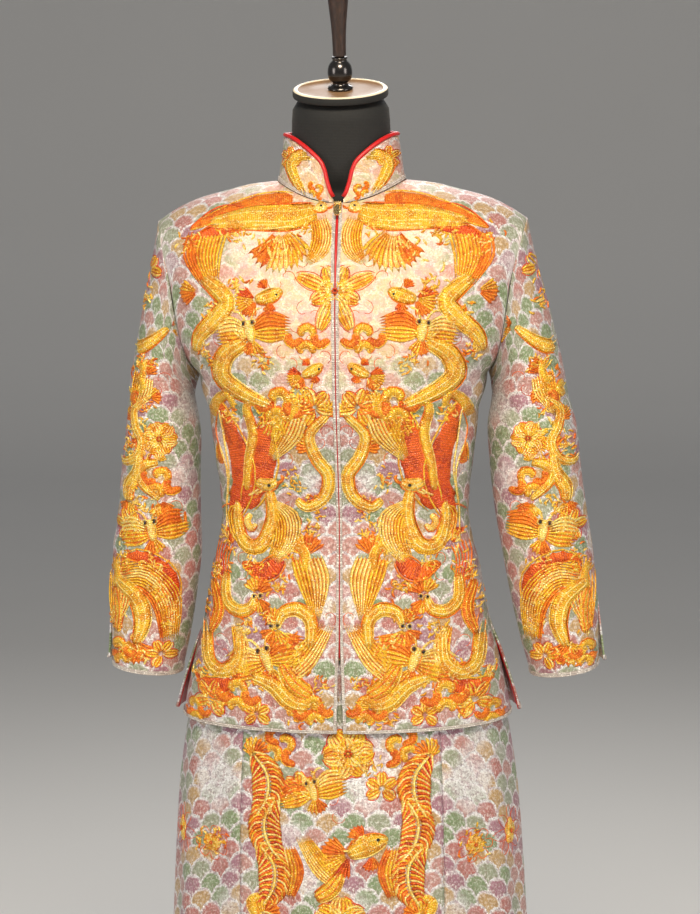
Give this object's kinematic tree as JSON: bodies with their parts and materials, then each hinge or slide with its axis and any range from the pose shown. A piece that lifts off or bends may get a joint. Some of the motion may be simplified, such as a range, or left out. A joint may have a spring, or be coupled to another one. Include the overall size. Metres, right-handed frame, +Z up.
{
  "type": "qun kwa wedding jacket and skirt on a limbless dress form",
  "caption": "Zipped, collared wedding jacket with three-quarter sleeves over a full-length embroidered skirt, worn by a limbless dress form on a pole stand.",
  "frame": {"origin": "centre of the underside of the stand's round base, on the floor", "axes": "+X to the wearer's left, -Y the front of the dress, +Z up the pole"},
  "size_m": [0.5247, 0.31, 1.5634],
  "materials": {
    "brocade": "metallic thread ground with couched gold embroidery",
    "silver_binding": "silver braid",
    "red_cloth": "satin",
    "gold_metal": "polished",
    "form_cover": "matte jersey",
    "cap_wood": "satin",
    "dark_chrome": "polished",
    "dark_wood": "varnished",
    "stand_paint": "satin black"
  },
  "bodies": {
    "dress": {"front_left": "brocade", "front_right": "brocade", "back": "brocade", "sleeve_left_front": "brocade", "sleeve_left_back": "brocade", "sleeve_right_front": "brocade", "sleeve_right_back": "brocade", "collar": "brocade", "skirt_front": "brocade", "skirt_back": "brocade", "skirt_side_left": "brocade", "skirt_side_right": "brocade", "cuff_left_front": "silver_binding", "cuff_left_back": "silver_binding", "cuff_right_front": "silver_binding", "cuff_right_back": "silver_binding", "collar_band": "silver_binding", "edge_left": "silver_binding", "edge_right": "silver_binding", "hem_front_left": "silver_binding", "hem_front_right": "silver_binding", "hem_back": "silver_binding", "collar_piping": "red_cloth", "facing_left": "red_cloth", "facing_right": "red_cloth", "zip_tape_left": "red_cloth", "zip_tape_right": "red_cloth", "skirt_waistband": "red_cloth", "zip_slider": "gold_metal", "form_torso": "form_cover", "form_cap": "cap_wood", "form_knob": "dark_chrome", "form_handle": "dark_wood", "stand_pole": "stand_paint", "stand_base": "stand_paint"},
    "pull": {"zip_pull": "gold_metal"}
  },
  "joints": [
    {"name": "pull_swing", "type": "hinge", "parent": "dress", "child": "pull", "pos_m": [0, -0.06637, 1.32986], "axis": [-1, 0, 0], "range_deg": [0, 120]}
  ]
}
